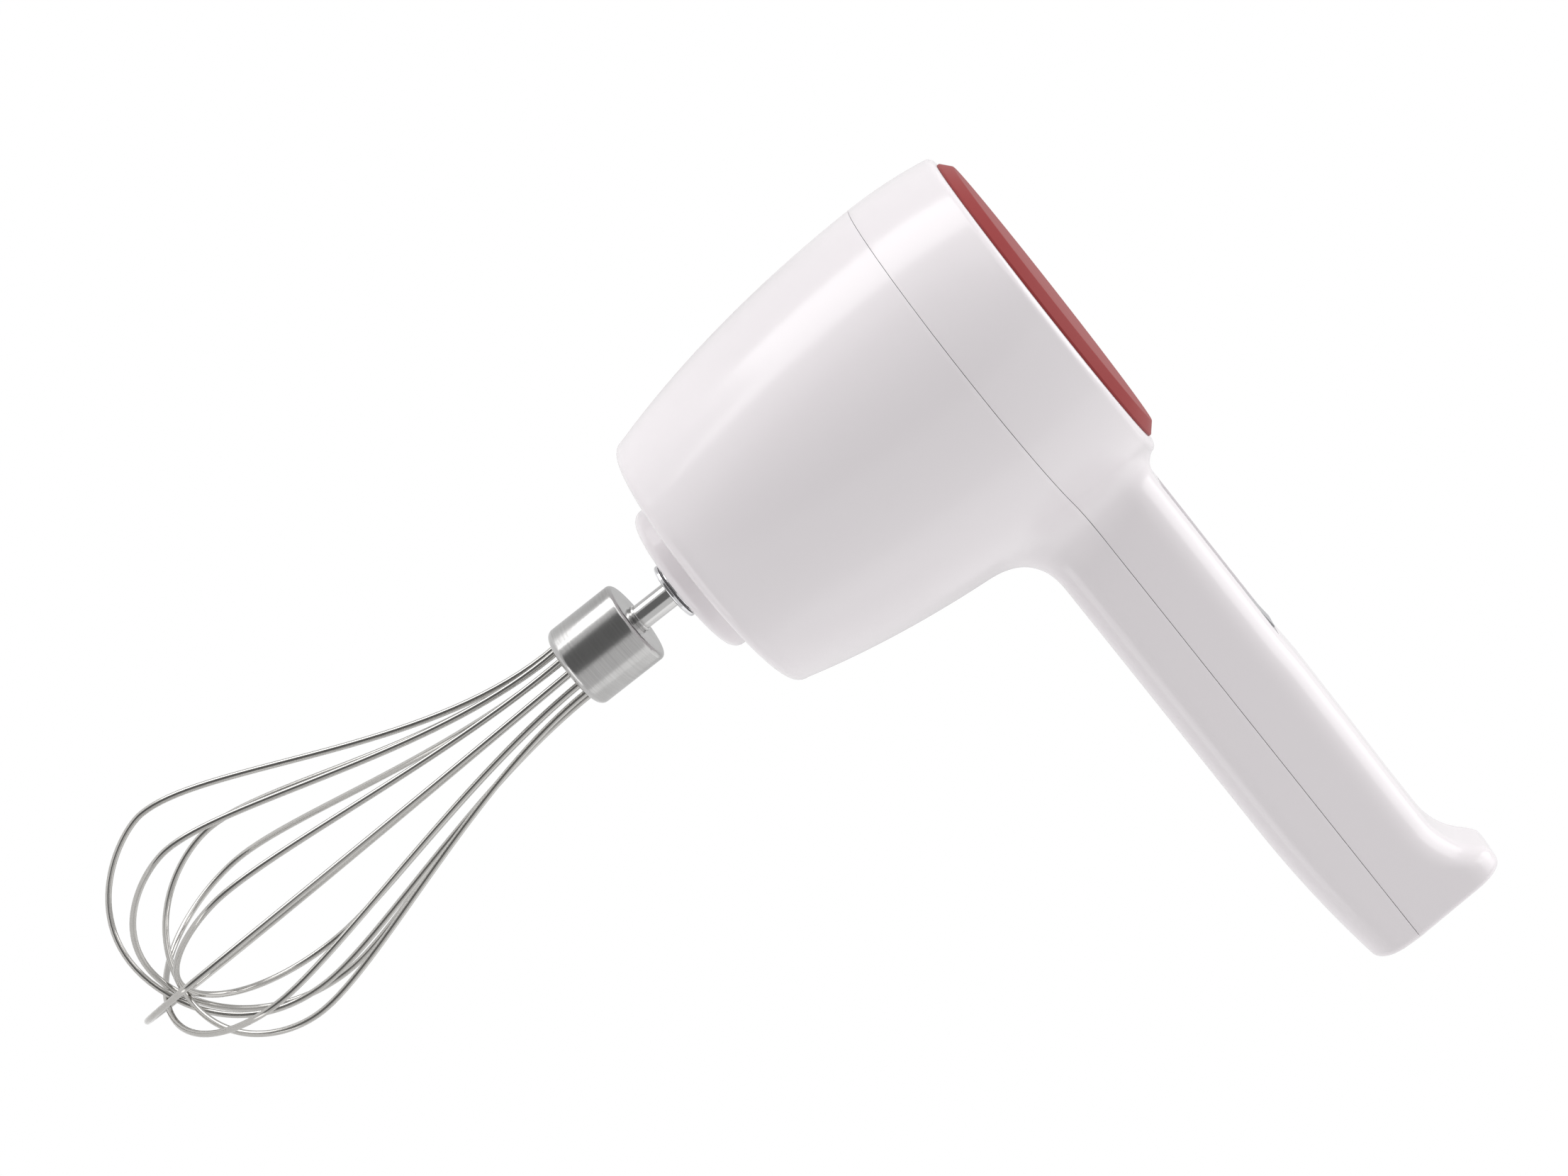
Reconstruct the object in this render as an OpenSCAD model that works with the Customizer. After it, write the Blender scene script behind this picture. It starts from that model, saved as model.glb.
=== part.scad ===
// Cordless hand mixer with a balloon whisk.
// Z is the spindle's axis, and z = 0 is the flat top of the red panel. The handle points along +X.

/* [Head] */
// Widest radius of the head
head_r = 44.7; // [42:0.1:48]
// Depth of the head's lower face below the panel
head_depth = 103.6; // [102:0.1:106]
// Depth of the widest place, which is also the seam's depth
seam_depth = 25.4; // [24:0.1:27]
// Half-height of the ellipse that shapes the head above the seam
upper_swell = 72; // [68:1:80]
// Half-height of the ellipse that shapes the head below the seam
lower_swell = 124; // [118:1:130]
// Wall thickness of both shells
wall = 2.2; // [2:0.1:2.4]
// Radius of the round boss under the head
boss_r = 19.8; // [19:0.1:21]
// Height of that boss
boss_h = 6.9; // [6.5:0.1:7.2]

/* [Panel] */
// Radius of the red panel at its foot
panel_r = 40; // [39:0.1:40.5]
// Thickness of the panel
panel_t = 2.8; // [2.6:0.1:3]
// Width of its sloping edge
panel_bevel = 2.5; // [1.5:0.1:3]

/* [Handle] */
// Distance from the spindle's axis to the handle's end
handle_end = 173; // [172:0.1:176]
// Width of the handle
handle_w = 30; // [29:0.1:32]
// Depth of the handle's underside
handle_bottom_depth = 40.2; // [40:0.1:41]
// Depth of the handle's top in the middle of the grip
handle_top_depth = 7.5; // [7.2:0.1:7.8]
// Radius of the hollow sweep up to the flared end
flare_r = 17.7; // [17.5:0.1:18]

/* [Controls] */
// Travel of both buttons
press_travel = 0.8; // [0.6:0.1:0.9]
// Gap round each button
button_gap = 0.3; // [0.2:0.05:0.4]

/* [Drive] */
// Tooth module of all gears
gear_module = 0.8; // [0.8:0.8]
// Teeth on the motor's pinion
sun_teeth = 15; // [15:15]
// Teeth on each planet
planet_teeth = 18; // [18:18]
// Thickness taken off each tooth for backlash
backlash = 0.12; // [0.1:0.01:0.16]
// Outer radius of the motor can
can_r = 17.9; // [17.5:0.1:18]
// Outer radius of the spindle
spindle_r = 4.95; // [4.9:0.01:4.98]

/* [Whisk] */
// Radius of the whisk's shaft
shaft_r = 3.15; // [3.1:0.01:3.17]
// Radius of the ferrule
ferrule_r = 10.8; // [10:0.1:11.5]
// Height of the ferrule
ferrule_h = 19.5; // [18:0.1:21]
// Diameter of the whisk's wire
wire_d = 1.6; // [1.4:0.05:1.65]

/* [Hidden] */
$fn = 64;
slack = 0.01; // overlap that keeps cuts clean

// Levels along the spindle, from the panel down
shell_top = -panel_t;
seam_z = -seam_depth;
head_floor = -head_depth;
boss_floor = head_floor - boss_h;
inner_floor = head_floor + wall;
inner_top = shell_top - wall;
collar_foot = boss_floor - 3.4;
collar_flange_t = 1.2;
ferrule_top = collar_foot - 10.7;
ferrule_foot = ferrule_top - ferrule_h;

// Handle
handle_top = -handle_top_depth;
handle_bottom = -handle_bottom_depth;
head_fillet_x = 53.5;
head_fillet_r = 9.9;
strip_start_top = -11.5;
grip_start_x = 100;
flare_start_x = 152;
tip_start_x = 166.2;
end_corner_r = 2;
end_lean = 0.95;

// Gears: the ring's teeth follow from the other two
ring_teeth = sun_teeth + 2 * planet_teeth;
carrier_r = gear_module * (sun_teeth + planet_teeth) / 2;
gear_floor = -94;
gear_face = 7;
pressure_angle = 20;

// Handle cells
cell_r = 9.1;
cell_len = 50;
cell_z = handle_bottom + wall + cell_r + 0.65;
cell_start_x = 47;
cell_pitch = cell_len + 2;

// Button strip
strip_x = [50.6, 95.4];
strip_half_w = 8.4;
button_x = [[52.2, 71], [71.9, 93.9]];
button_half_w = 6.7;
bezel_floor = -13;

// Whisk loops: azimuth, reach on the + and - side, depth of the widest place on each side,
// slope where the loop crosses the axis, how far it is bent sideways at the tip, and height of
// its crossing over the lowest one
LOOPS = [
  [ 90, 25.1, 35.7, 240.8, 254.3, 0.17, -0.7,  0   ],
  [-60, 33.4, 34.7, 241.8, 245.7, 0.04,  1.7,  1.85],
  [  0, 19.5, 40.4, 238.1, 249.4, 0.48,  0.5,  4.35],
  [ 30, 23.9, 33.5, 235.6, 244.7, 0.29,  0.1,  6.15],
  [-30, 29.1, 30.7, 239.3, 241.4, 0.03,  4.1,  7.95],
  [ 60, 22.6, 27.2, 233.1, 239.4, 0.24,  3.0, 10.45]
];
wire_circle_r = 6.95;
wire_top = ferrule_foot + 11;
lowest_crossing = -275;
basket_turn = -7.6;
basket_lean = 0.03;

// ---------- outlines ----------

// Points of an arc about (cx, cy) from angle a0 to angle a1
function arc(cx, cy, r, a0, a1, n = 8) =
  [for (i = [0 : n]) let (a = a0 + (a1 - a0) * i / n) [cx + r * cos(a), cy + r * sin(a)]];

// Radius of the head at height z: two half ellipses that meet at the seam
function head_radius(z) =
  let (swell = z > seam_z ? upper_swell : lower_swell)
  head_r * sqrt(1 - pow((z - seam_z) / swell, 2));

// Half outline of the head in (radius, z), drawn in by inset all round
function head_outline(inset) =
  let (
    top = shell_top - inset,
    foot = head_floor + inset,
    corner = 3,
    shoulder_r = head_radius(shell_top - 1.9) - inset,
    foot_r = head_radius(head_floor + corner) - inset
  )
  concat(
    [[0, top]],
    arc(shoulder_r - 1.9, top - 1.9, 1.9, 90, 0, 4),
    [for (i = [1 : 15]) let (z = top - 1.9 + (foot + corner - top + 1.9) * i / 16)
      [head_radius(z) - inset, z]],
    arc(foot_r - corner, foot + corner, corner, 0, -90, 5),
    [[0, foot]]
  );

// Height of the handle's top at x: fillet, long rise, level grip, sweep up to the tip
function handle_top_at(x) =
  x < head_fillet_x ? strip_start_top + head_fillet_r
    - sqrt(max(0, pow(head_fillet_r, 2) - pow(head_fillet_x - x, 2)))
  : x < grip_start_x ? strip_start_top
    + (handle_top - strip_start_top) * (x - head_fillet_x) / (grip_start_x - head_fillet_x)
  : x < flare_start_x ? handle_top
  : min(0, handle_top + flare_r - sqrt(pow(flare_r, 2) - pow(min(x, tip_start_x) - flare_start_x, 2)));

// Height of the handle's underside at x: level, then a slow rise to the end
function handle_bottom_at(x) =
  x < 135 ? handle_bottom : handle_bottom + 2.9 * pow((x - 135) / 35, 2);

// Side view of the handle in (x, z)
function side_outline(inset) =
  let (end = handle_end - inset, tip = -inset, heel = handle_bottom_at(169) + inset)
  concat(
    [[30, -4 - inset], [43.7, -4 - inset]],
    [for (x = [44.5 : 1.5 : 53]) [x, handle_top_at(x) - inset]],
    [for (x = [60 : 20 : 140]) [x, handle_top_at(x) - inset]],
    [for (x = [flare_start_x : 2 : tip_start_x]) [x, handle_top_at(x) - inset]],
    [[168.2, tip - 0.15]],
    arc(end - end_lean - end_corner_r, tip - end_corner_r, end_corner_r, 90, 0, 5),
    [[end, seam_z]],
    arc(end - 4.6, heel + 4, 4, 0, -90, 5),
    [for (x = [165 : -10 : 135]) [x, handle_bottom_at(x) + inset]],
    arc(54, handle_bottom - 10 + inset, 10 - inset, 90, 170, 8),
    [[30, handle_bottom - 10]]
  );

// Plan view of the handle in (x, y), with its fillets tangent to the head
function plan_outline(inset) =
  let (
    w = handle_w / 2 - inset,
    end = handle_end - inset,
    root_r = 6 + inset,
    barrel = head_r - 0.9 - inset,
    root_x = sqrt(pow(barrel + root_r, 2) - pow(w + root_r, 2)),
    turn = atan2(w + root_r, root_x),
    half = concat(
      [[30, w + root_r * (1 - sin(turn))]],
      arc(root_x, w + root_r, root_r, 180 + turn, 270, 6),
      arc(end - 4, w - 4, 4, 90, 0, 5)
    )
  )
  concat(half, [for (i = [len(half) - 1 : -1 : 0]) [half[i][0], -half[i][1]]]);

// Cross-section of the handle in (y, z): rounded underside, sides drawn in towards the top
function cross_outline(inset) =
  let (w = handle_w / 2 - inset, low = handle_bottom + inset, r = 7 - inset, half = concat(
    arc(w - r, low + r, r, -90, 0, 5),
    [[w, -16], [w - 0.5, -12], [w - 1.6, -9.3], [w - 3.4, -6.5], [w - 4.4, -3], [w - 5, 2]]
  ))
  concat(half, [for (i = [len(half) - 1 : -1 : 0]) [-half[i][0], half[i][1]]]);

// Ring between two radii, from height z0 up to z1
module ring(r_in, r_out, z0, z1) {
  translate([0, 0, z0]) difference() {
    cylinder(r = r_out, h = z1 - z0);
    translate([0, 0, -1]) cylinder(r = r_in, h = z1 - z0 + 2);
  }
}

// Solid round bar from height z0 up to z1
module bar(r, z0, z1) {
  translate([0, 0, z0]) cylinder(r = r, h = z1 - z0);
}

// Box given by its lowest and highest corners
module block(low, high) {
  translate(low) cube(high - low);
}

// Children repeated at count places on a circle
module around(r, count, start = 0) {
  for (i = [0 : count - 1]) rotate([0, 0, start + 360 * i / count]) translate([r, 0, 0]) children();
}

// ---------- housing ----------

// Head as one solid, drawn in by inset
module head_solid(inset) {
  rotate_extrude($fn = 96) polygon(head_outline(inset));
}

// Handle as one solid, drawn in by inset: side view, plan view and cross-section meet
module handle_solid(inset) {
  intersection() {
    rotate([90, 0, 0]) linear_extrude(80, center = true) polygon(side_outline(inset));
    translate([0, 0, -80]) linear_extrude(90) polygon(plan_outline(inset));
    union() {
      translate([54, 0, 0]) rotate([90, 0, 90]) linear_extrude(130) polygon(cross_outline(inset));
      block([20, -40, -60], [54 + slack, 40, 5]);
    }
  }
}

// Both shells before they are parted: outside less inside
module housing_skin() {
  difference() {
    union() {
      head_solid(0);
      handle_solid(0);
    }
    head_solid(wall);
    handle_solid(wall);
  }
}

shell_screw_r = 34;
shell_post_r = 3.4;
screw_angles = [60, 180, 300];

// Places for the three screws under the panel
module at_shell_screws() {
  for (a = screw_angles) rotate([0, 0, a]) translate([shell_screw_r, 0, 0]) children();
}

module upper_shell() {
  color([0.93, 0.93, 0.93]) difference() {
    union() {
      intersection() {
        housing_skin();
        block([-60, -60, seam_z], [200, 60, 10]);
      }
      at_shell_screws() bar(shell_post_r, seam_z + 0.05, inner_top + slack);
      around(22, 3, 0) bar(2.2, -12, inner_top + slack);
    }
    at_shell_screws() {
      bar(1.6, seam_z - 1, 0);
      bar(2.9, shell_top - 3, 0);
    }
    block([strip_x[0], -strip_half_w, -20], [strip_x[1], strip_half_w, 0]);
  }
}

module lower_shell() {
  color([0.92, 0.92, 0.92]) difference() {
    union() {
      intersection() {
        housing_skin();
        block([-60, -60, -110], [200, 60, seam_z - 0.05]);
      }
      // boss with its bearing seat
      rotate_extrude($fn = 96) polygon(concat(
        [[9.5, boss_floor]],
        arc(boss_r - 2.5, boss_floor + 2.5, 2.5, -90, 0, 5),
        [[boss_r, head_floor + 1], [13.5, head_floor + 1], [13.5, -101.2], [11, -101.2],
         [11, -108.4], [9.5, -108.4]]
      ));
      at_shell_screws() bar(shell_post_r, -60, seam_z - 0.05);
      at_shell_screws() block([0, -1.2, -60], [8, 1.2, -28]);
      // web that carries the motor's rubber ring
      ring(20.2, head_radius(-50) - wall + 0.4, -51, -48.5);
      around(29.5, 4, 45) bar(3.2, inner_floor - 0.5, -98.2);
    }
    bar(11, -108.4, -100);
    at_shell_screws() bar(1.25, -58, 0);
    around(29.5, 4, 45) bar(1.1, inner_floor, -90);
    // charging opening in the end wall
    block([handle_end - 6, -4.8, -30.5], [handle_end + 1, 4.8, -26.7]);
  }
}

module top_panel() {
  color([0.55, 0.1, 0.1]) {
    translate([0, 0, shell_top]) difference() {
      union() {
        cylinder(r = panel_r, h = 0.5, $fn = 96);
        translate([0, 0, 0.5])
          cylinder(r1 = panel_r, r2 = panel_r - panel_bevel, h = panel_t - 0.5, $fn = 96);
      }
      translate([0, 0, -1]) ring(0, 30, 0, 1.6);
    }
  }
}

// ---------- controls ----------

// Height of the buttons' tops, a plane that sinks into the handle's top away from the head
function button_top_at(x) = -10.9 + 0.088 * (x - button_x[0][0]);

// Bar along the handle between two heights given by their ends
module wedge_bar(x0, x1, floor_z, top0, top1, half_w) {
  rotate([90, 0, 0]) linear_extrude(2 * half_w, center = true)
    polygon([[x0, floor_z], [x1, floor_z], [x1, top1], [x0, top0]]);
}

module control_bezel() {
  color([0.72, 0.72, 0.72]) difference() {
    wedge_bar(strip_x[0] + 0.05, strip_x[1] - 0.05, bezel_floor, strip_start_top + 0.15,
              handle_top_at(strip_x[1]) + 0.15, strip_half_w - 0.05);
    for (b = button_x) block([b[0], -button_half_w, -20], [b[1], button_half_w, 0]);
  }
}

// One button: cap through the bezel, flange under it, stem over its switch
module button(span) {
  x0 = span[0] + button_gap;
  x1 = span[1] - button_gap;
  mid = (x0 + x1) / 2;
  half_w = button_half_w - button_gap;
  wedge_bar(x0, x1, bezel_floor - 1.2, button_top_at(x0), button_top_at(x1), half_w);
  block([x0 - 0.2, -half_w - 1, bezel_floor - 1.2], [x1 + 0.2, half_w + 1, bezel_floor - 0.1]);
  translate([mid, 0, 0]) bar(1.6, bezel_floor - 2, bezel_floor - 1);
}

module power_button() {
  color([0.66, 0.66, 0.66]) button(button_x[0]);
}

module speed_button() {
  color([0.66, 0.66, 0.66]) button(button_x[1]);
}

switch_board_top = -17.6;

module switch_board() {
  color("darkgreen")
    block([strip_x[0] + 4, -8.5, switch_board_top - 1.2], [strip_x[1], 8.5, switch_board_top]);
}

module tact_switches() {
  color("dimgray") for (b = button_x) translate([(b[0] + b[1]) / 2, 0, 0]) {
    block([-3, -3, switch_board_top], [3, 3, switch_board_top + 1.2]);
    bar(1.7, switch_board_top + 1.2, bezel_floor - 2 - press_travel - 0.2);
  }
}

// ---------- handle's inside ----------

module cell(i) {
  color([0.2, 0.45, 0.7]) translate([cell_start_x + i * cell_pitch, 0, cell_z]) rotate([0, 90, 0]) {
    cylinder(r = cell_r, h = cell_len - 1);
    cylinder(r = 3, h = cell_len);
  }
}

module battery_cell_1() {
  cell(0);
}

module battery_cell_2() {
  cell(1);
}

module battery_cradle() {
  first_x = cell_start_x + 11;
  rib_pitch = 26;
  last_x = first_x + 3 * rib_pitch + 3;
  color([0.25, 0.25, 0.27]) difference() {
    union() {
      for (i = [0 : 3]) {
        x = first_x + i * rib_pitch;
        block([x, -8.5, handle_bottom + wall + 0.55], [x + 3, 8.5, cell_z - 3]);
        block([x, -11, cell_z - 4], [x + 3, 11, cell_z + 2]);
      }
      for (y = [-11, 9.4]) block([first_x, y, cell_z - 2], [last_x, y + 1.6, cell_z + 2]);
    }
    translate([30, 0, cell_z]) rotate([0, 90, 0]) cylinder(r = cell_r + 0.05, h = 130);
  }
}

module battery_tabs() {
  color("silver") for (i = [0 : 2]) {
    x = cell_start_x - 0.5 + i * cell_pitch + (i > 0 ? -1.3 : 0);
    block([x - (i == 1 ? 0.1 : 0), -4, cell_z - 5], [x + 0.3, 4, cell_z + 5]);
  }
}

module charge_board() {
  color("darkgreen") block([160.5, -9, -31.8], [169.3, 9, -30.6]);
}

module usb_socket() {
  color("silver") difference() {
    block([164, -4.5, -30.5], [handle_end - 0.2, 4.5, -27]);
    block([165.5, -4.1, -30.1], [handle_end + 1, 4.1, -27.4]);
  }
  color([0.15, 0.15, 0.15]) block([165.4, -3.3, -29.1], [172, 3.3, -28.4]);
}

// ---------- electronics and screws in the head ----------

control_board_top = -12;

module control_board() {
  color("darkgreen") difference() {
    bar(27, control_board_top - 1.6, control_board_top);
    around(22, 3, 0) bar(1.2, control_board_top - 3, control_board_top + 1);
  }
  color([0.15, 0.15, 0.15]) {
    block([-14, -12, control_board_top - 4.2], [-4, -4, control_board_top - 1.6]);
    block([4, -12, control_board_top - 4.2], [14, -4, control_board_top - 1.6]);
    translate([0, 12, 0]) bar(4, control_board_top - 12, control_board_top - 1.6);
  }
}

module shell_screws() {
  color("silver") at_shell_screws() {
    bar(2.7, shell_top - 3, shell_top - 1.2);
    bar(1.24, -46, shell_top - 3);
  }
}

// ---------- motor ----------

can_foot = -83.4;
can_top = -35;

module motor_can() {
  color([0.6, 0.61, 0.63]) difference() {
    bar(can_r, can_foot, can_top);
    bar(can_r - 1.2, can_foot + 1.5, can_top + 1);
    bar(3, can_foot - 1, can_foot + 2);
    around(9, 2) bar(1.25, can_foot - 1, can_foot + 2);
  }
}

module motor_end_cap() {
  color([0.15, 0.15, 0.15]) {
    difference() {
      union() {
        bar(can_r, can_top, can_top + 2.5);
        bar(can_r - 1.25, can_top - 3, can_top + slack);
        bar(6, can_top, can_top + 6);
      }
      bar(5.6, can_top - 4, can_top + 2);
      bar(3, can_top, can_top + 7);
      for (s = [-1, 1]) translate([s * 7.3, 0, 0]) block([-2.6, -2.6, -60], [2.6, 2.6, can_top - 0.5]);
    }
  }
}

module motor_magnets() {
  color([0.3, 0.3, 0.32]) for (s = [0, 180]) rotate([0, 0, s]) intersection() {
    ring(13.2, can_r - 1.22, -78, -43);
    rotate([0, 0, 22]) block([0, 0, -90], [30, 30, 0]);
  }
}

module motor_brushes() {
  color([0.2, 0.18, 0.17]) for (s = [0, 180]) rotate([0, 0, s])
    block([4.2, -2, -41.5], [9.8, 2, -38.1]);
}

module motor_bushes() {
  color([0.7, 0.55, 0.3]) {
    ring(1.65, 3, can_foot - 0.3, can_foot + 3.5);
    ring(1.65, 3, can_top + 1.5, can_top + 6);
  }
}

module motor_damper() {
  color([0.15, 0.15, 0.15]) {
    ring(can_r + 0.02, 20.15, -53, -47);
    ring(20.1, 22.5, -48.45, -47);
  }
}

module motor_shaft() {
  color("silver") bar(1.58, gear_floor, can_top + 7.5);
}

module armature_core() {
  color([0.45, 0.45, 0.47]) difference() {
    bar(12.6, -74, -48);
    bar(1.58, -75, -47);
    around(8.2, 5) bar(2.6, -75, -47);
    around(12, 5) block([-4, -0.8, -75], [4, 0.8, -47]);
  }
}

module armature_windings() {
  color([0.75, 0.4, 0.15]) {
    around(8.2, 5) bar(2.4, -74, -48);
    ring(3, 11, -77.5, -74);
    ring(3, 11, -48, -44.5);
  }
}

module commutator() {
  color([0.75, 0.45, 0.25]) difference() {
    ring(1.58, 4.1, -43.5, -37.5);
    around(4.1, 5, 36) block([-1, -0.2, -45], [1, 0.2, -36]);
  }
}

// ---------- gears ----------

// Involute angle at a pressure angle
function involute(a) = tan(a) - a * PI / 180;

// Half angle of a tooth at radius r, in degrees, for pitch radius rp and base radius rb
function half_tooth(r, rp, rb, half_pitch_angle) =
  half_pitch_angle + (involute(pressure_angle) - involute(acos(min(1, rb / r)))) * 180 / PI;

// Outline of a gear with teeth from root to tip; extra widens each tooth
function gear_outline(teeth, root, tip, extra) =
  let (
    rp = gear_module * teeth / 2,
    rb = rp * cos(pressure_angle),
    low = max(root, rb + slack),
    half_pitch = 90 / teeth + extra / rp * 90 / PI,
    steps = 3
  )
  [for (t = [0 : teeth - 1]) let (c = 360 * t / teeth)
    each concat(
      [[root * cos(c - 180 / teeth), root * sin(c - 180 / teeth)]],
      [for (i = [0 : steps]) let (r = i == 0 ? root : low + (tip - low) * i / steps,
        a = c - half_tooth(max(r, low), rp, rb, half_pitch)) [r * cos(a), r * sin(a)]],
      [for (i = [steps : -1 : 0]) let (r = i == 0 ? root : low + (tip - low) * i / steps,
        a = c + half_tooth(max(r, low), rp, rb, half_pitch)) [r * cos(a), r * sin(a)]]
    )];

// Gear disc with its bore
module gear(teeth, bore_r) {
  rp = gear_module * teeth / 2;
  difference() {
    linear_extrude(gear_face - 0.6)
      polygon(gear_outline(teeth, rp - 1.1 * gear_module, rp + 0.85 * gear_module, -backlash / 2));
    translate([0, 0, -1]) cylinder(r = bore_r, h = gear_face + 2);
  }
}

module sun_pinion() {
  color([0.75, 0.72, 0.6]) translate([0, 0, gear_floor + 0.3]) gear(sun_teeth, 1.58);
}

// A planet at its place, with a tooth gap towards the sun and towards the ring
module planet(i) {
  color([0.9, 0.88, 0.8]) rotate([0, 0, 120 * i]) translate([carrier_r, 0, gear_floor + 0.3])
    rotate([0, 0, 180 / planet_teeth]) gear(planet_teeth, 1.55);
}

module planet_gear_1() {
  planet(0);
}

module planet_gear_2() {
  planet(1);
}

module planet_gear_3() {
  planet(2);
}

module gearbox_housing() {
  rp = gear_module * ring_teeth / 2;
  color([0.35, 0.35, 0.37]) difference() {
    union() {
      bar(25, -99.8, -86);
      around(29.5, 4, 45) bar(3.6, -98.1, -94);
      for (a = [45, 135]) rotate([0, 0, a]) block([-29.5, -3.6, -98.1], [29.5, 3.6, -94]);
    }
    translate([0, 0, gear_floor]) linear_extrude(gear_face + 2)
      rotate([0, 0, 180 / ring_teeth])
      polygon(gear_outline(ring_teeth, rp - 0.85 * gear_module, rp + 1.1 * gear_module, backlash / 2));
    bar(21, -98.3, gear_floor + slack);
    bar(5.4, -101, -97);
    around(29.5, 4, 45) bar(1.3, -100, -90);
    around(23, 2, 90) bar(0.9, -92, -85);
  }
}

module gearbox_screws() {
  color("silver") {
    around(29.5, 4, 45) {
      bar(2.4, -93.95, -92.2);
      bar(1.08, -101, -93.9);
    }
    around(23, 2, 90) {
      bar(1.9, -83.5, -82);
      bar(0.88, -91, -83.4);
    }
  }
}

module motor_plate() {
  color([0.7, 0.71, 0.73]) difference() {
    bar(25, -85.95, -83.55);
    bar(5, -90, -80);
    around(9, 2) bar(1.3, -90, -80);
    around(23, 2, 90) bar(1.1, -90, -80);
  }
}

module motor_screws() {
  color("silver") around(9, 2) {
    bar(2.2, -87, -85.97);
    bar(1.2, -86.5, -81.9);
  }
}

module planet_carrier() {
  color([0.8, 0.8, 0.78]) difference() {
    bar(18.5, -98, gear_floor - 0.2);
    bar(spindle_r + slack, -100, -90);
    around(carrier_r, 3) bar(1.5, -100, -90);
  }
}

module planet_pins() {
  color("silver") around(carrier_r, 3) bar(1.5, -97.9, -87.2);
}

// ---------- spindle ----------

socket_r = shaft_r + 0.05;
hex_af = 5.4;
hex_top = -98;
hex_foot = -103;
grip_z = -106;

// Hexagonal bar by its width across flats
module hex_bar(af, z0, z1) {
  translate([0, 0, z0]) cylinder(r = af / sqrt(3), h = z1 - z0, $fn = 6);
}

module output_spindle() {
  color([0.8, 0.81, 0.83]) difference() {
    bar(spindle_r, collar_foot + 0.5, gear_floor - 0.2);
    bar(socket_r, collar_foot, hex_foot);
    hex_bar(hex_af + 0.3, hex_foot - slack, hex_top + 0.6);
    bar(4.1, grip_z - 0.6, grip_z + 0.6);
  }
}

module grip_ring() {
  color("silver") difference() {
    ring(shaft_r + 0.06, 4, grip_z - 0.5, grip_z + 0.5);
    block([0, -0.8, grip_z - 2], [8, 0.8, grip_z + 2]);
  }
}

module drive_collar() {
  color([0.85, 0.86, 0.88]) difference() {
    rotate_extrude($fn = 96) polygon(concat(
      [[socket_r, collar_foot]],
      arc(7.3 - 0.4, collar_foot + 0.4, 0.4, -90, 0, 3),
      arc(7.3 - 0.4, collar_foot + collar_flange_t - 0.4, 0.4, 0, 90, 3),
      [[6, collar_foot + collar_flange_t], [6, -109.2], [socket_r, -109.2]]
    ));
    bar(spindle_r, collar_foot + 0.5, -100);
  }
}

module output_bearing() {
  color([0.75, 0.76, 0.78]) {
    ring(9.6, 11, -108.3, -102.3);
    ring(spindle_r + 0.03, 6.4, -108.3, -102.3);
    around(8, 9) translate([0, 0, -105.3]) sphere(r = 1.58, $fn = 24);
  }
}

module spindle_seal() {
  color([0.12, 0.12, 0.12]) ring(6.1, 9.5, -110.2, -108.4);
}

// ---------- whisk ----------

module whisk_shaft() {
  color([0.8, 0.81, 0.83]) difference() {
    union() {
      bar(shaft_r, ferrule_foot + 3, hex_foot - 0.5);
      hex_bar(hex_af, hex_foot - 1, hex_top);
    }
    ring(2.85, 4, grip_z - 0.55, grip_z + 0.55);
  }
}

module shaft_clip() {
  color([0.45, 0.45, 0.46]) {
    difference() {
      ring(shaft_r + slack, 3.9, ferrule_top + 0.25, ferrule_top + 1);
      block([0, -1, ferrule_top], [6, 1, ferrule_top + 2]);
    }
  }
}

module whisk_ferrule() {
  color([0.72, 0.72, 0.72]) difference() {
    rotate_extrude($fn = 96) polygon(concat(
      [[shaft_r, ferrule_top], [ferrule_r - 1.3, ferrule_top]],
      arc(ferrule_r - 1.3, ferrule_top - 1.3, 1.3, 90, 0, 5),
      arc(ferrule_r - 2, ferrule_foot + 2, 2, 0, -90, 6),
      [[8.4, ferrule_foot], [8.4, ferrule_top - 2], [shaft_r, ferrule_top - 2]]
    ));
  }
}

// Places of the twelve wire ends on their circle
module at_wire_ends() {
  for (l = LOOPS) for (s = [0, 180])
    rotate([0, 0, l[0] + basket_turn + s]) translate([wire_circle_r, 0, 0]) children();
}

module whisk_core() {
  color([0.5, 0.5, 0.52]) difference() {
    bar(8.38, ferrule_foot + 0.6, ferrule_top - 2.05);
    bar(shaft_r, ferrule_foot + 3, 0);
    at_wire_ends() bar(wire_d / 2 + 0.06, ferrule_foot - 1, wire_top);
  }
}

// Point of a cubic curve through four control points
function bezier(p, t) =
  pow(1 - t, 3) * p[0] + 3 * pow(1 - t, 2) * t * p[1] + 3 * (1 - t) * pow(t, 2) * p[2] + pow(t, 3) * p[3];

// One side of a loop in (reach, z): down from its end to the widest place, then in to the axis
function loop_side(reach, wide_z, tip_z, slope, steps = 15) =
  let (
    drop = ferrule_foot - wide_z,
    bowl = wide_z - tip_z,
    upper = [[wire_circle_r, ferrule_foot], [wire_circle_r - 0.85, ferrule_foot - 0.375 * drop],
             [reach, wide_z + 0.19 * drop], [reach, wide_z]],
    lower = [[reach, wide_z], [reach, wide_z - 0.415 * bowl],
             [0.68 * reach, tip_z + 0.68 * reach * slope], [0, tip_z]]
  )
  concat(
    [[wire_circle_r, wire_top - 0.5]],
    [for (i = [0 : steps]) bezier(upper, i / steps)],
    [for (i = [1 : 11]) bezier(lower, i / 11)]
  );

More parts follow.
